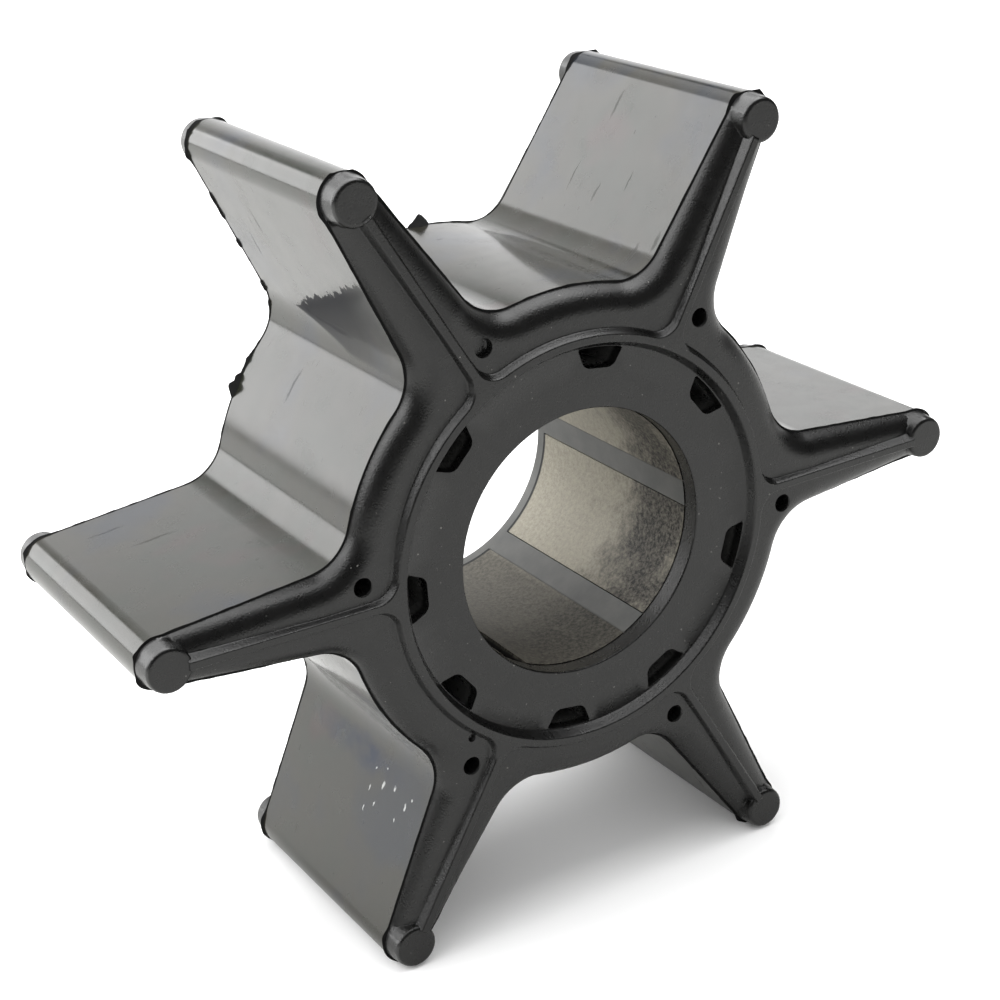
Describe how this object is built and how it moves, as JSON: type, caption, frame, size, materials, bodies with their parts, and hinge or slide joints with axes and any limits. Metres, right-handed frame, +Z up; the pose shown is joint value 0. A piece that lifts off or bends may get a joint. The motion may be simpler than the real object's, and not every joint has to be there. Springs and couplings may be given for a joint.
{
  "type": "pump impeller",
  "caption": "Flexible rubber water-pump impeller with tapered radial vanes, beaded tips, a sealing ring and ribs on both faces, and a keyed metal bush in the bore.",
  "frame": {"origin": "on the bore's axis, halfway between the end discs of the vane tips", "axes": "+Y along the bore's axis toward the back end, +X toward a vane tip, +Z up; it stands on two vane tips with the front face toward -Y"},
  "size_m": [0.0582, 0.0212, 0.0508],
  "materials": {
    "rubber": "satin on the vanes, matt on the end faces",
    "bush_metal": "dull, speckled with dark stains"
  },
  "bodies": {
    "root": {"rubber_impeller": "rubber", "hub_bush": "bush_metal"}
  },
  "joints": []
}
